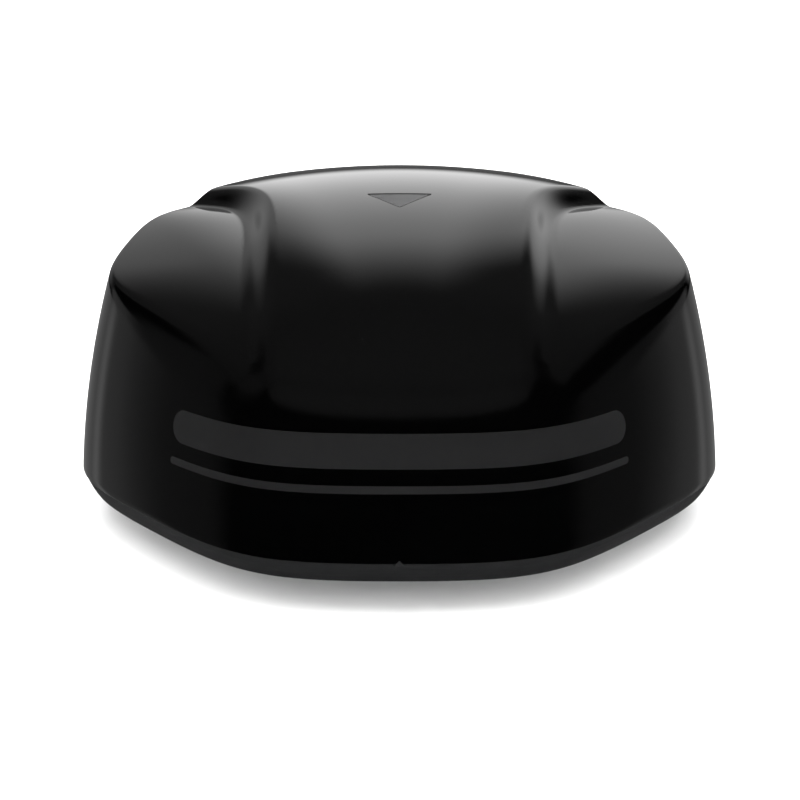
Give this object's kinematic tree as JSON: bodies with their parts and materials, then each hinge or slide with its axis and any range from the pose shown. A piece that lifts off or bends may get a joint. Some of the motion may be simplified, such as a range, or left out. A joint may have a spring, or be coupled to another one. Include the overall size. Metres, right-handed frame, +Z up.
{
  "type": "radar dome antenna",
  "caption": "Marine radar dome: rounded eight-sided glossy cover with a raised sloping top over a dark base, with a belt-driven rotating antenna array inside.",
  "frame": {"origin": "centre of the flat mounting face under the base, on the antenna's turning axis", "axes": "+Z up along the antenna's turning axis, -Y towards the low front of the cover that faces the bow, +Y towards the connectors, +X to the right seen from the front"},
  "size_m": [0.508, 0.508, 0.248],
  "materials": {
    "base_plastic": "fine moulded texture, very dark grey",
    "seal_rubber": "matte",
    "mount_steel": "turned stainless steel",
    "screw_steel": "stainless steel",
    "connector_plastic": "matte black",
    "nut_brass": "turned",
    "contact_gold": "gold plated",
    "vent_plastic": "matte",
    "membrane": "woven white",
    "cast_aluminium": "die cast, bead blasted",
    "bearing_steel": "ground",
    "ball_steel": "polished",
    "belt_rubber": "matte, toothed inside",
    "plate_steel": "zinc plated sheet",
    "motor_black": "black body with steel end caps",
    "board_green": "green solder mask",
    "tinned_steel": "tin plated",
    "black_anodised": "black anodised",
    "chip_black": "moulded",
    "capacitor_sleeve": "dark sleeve, bare aluminium top",
    "ferrite": "ferrite grey",
    "header_plastic": "natural nylon",
    "lead_black": "smooth jacket",
    "lead_red": "smooth jacket",
    "lead_grey": "smooth jacket",
    "lead_blue": "smooth jacket",
    "cover_gloss": "polished black",
    "arrow_grey": "printed grey",
    "shaft_steel": "ground",
    "clip_steel": "spring steel",
    "pulley_aluminium": "clear anodised",
    "magnet_nickel": "nickel plated",
    "bracket_aluminium": "folded sheet",
    "tray_aluminium": "chromated sheet",
    "foam_white": "closed-cell foam",
    "array_laminate": "microwave laminate",
    "patch_copper": "etched copper",
    "weight_steel": "zinc plated block"
  },
  "bodies": {
    "base": {"base_housing": "base_plastic", "cover_gasket": "seal_rubber", "mounting_inserts": "mount_steel", "cover_screws": "screw_steel", "screw_seals": "seal_rubber", "network_connector": "connector_plastic", "power_connector": "connector_plastic", "connector_nuts": "nut_brass", "connector_seals": "seal_rubber", "connector_pins": "contact_gold", "breather_vent": "vent_plastic", "vent_membrane": "membrane", "bearing_housing": "cast_aluminium", "bearing_outer_races": "bearing_steel", "bearing_balls": "ball_steel", "frame_screws": "screw_steel", "drive_belt": "belt_rubber", "drive_plate": "plate_steel", "stepper_motor": "motor_black", "small_screws": "screw_steel", "main_board": "board_green", "power_board": "board_green", "shield_can": "tinned_steel", "processor_heat_sink": "black_anodised", "board_chips": "chip_black", "capacitors": "capacitor_sleeve", "power_inductors": "ferrite", "board_headers": "header_plastic", "sensor_bracket": "plate_steel", "index_sensor": "board_green", "rotary_joint_stator": "nut_brass", "network_lead": "lead_black", "power_lead": "lead_red", "board_lead": "lead_grey", "motor_lead": "lead_grey"},
    "cover": {"radome_cover": "cover_gloss", "cover_inserts": "nut_brass", "heading_arrow": "arrow_grey"},
    "antenna": {"main_shaft": "shaft_steel", "shaft_circlip": "clip_steel", "bearing_inner_races": "bearing_steel", "driven_pulley": "pulley_aluminium", "index_magnet": "magnet_nickel", "rotary_joint_rotor": "nut_brass", "antenna_bracket": "bracket_aluminium", "turntable_screws": "screw_steel", "reflector_tray": "tray_aluminium", "panel_screws": "screw_steel", "foam_spacer": "foam_white", "array_board": "array_laminate", "array_patches": "patch_copper", "transceiver": "cast_aluminium", "transceiver_lid": "tinned_steel", "lid_screws": "screw_steel", "balance_weight": "weight_steel", "coax_sockets": "contact_gold", "array_lead": "lead_blue", "joint_lead": "lead_blue"},
    "motor_rotor": {"motor_shaft": "shaft_steel", "motor_pulley": "pulley_aluminium"}
  },
  "joints": [
    {"name": "antenna_spin", "type": "hinge", "parent": "base", "child": "antenna", "pos_m": [0, 0, 0.06], "axis": [0, 0, 1], "continuous": true, "deforming": ["drive_belt"]},
    {"name": "motor_spin", "type": "hinge", "parent": "base", "child": "motor_rotor", "pos_m": [0, 0.09148, 0.05], "axis": [0, 0, 1], "continuous": true},
    {"name": "cover_lift", "type": "slide", "parent": "base", "child": "cover", "axis": [0, 0, 1], "range_m": [0, 0.26]}
  ],
  "couplings": [
    {"joint": "motor_spin", "follows": "antenna_spin", "ratio": 4}
  ]
}
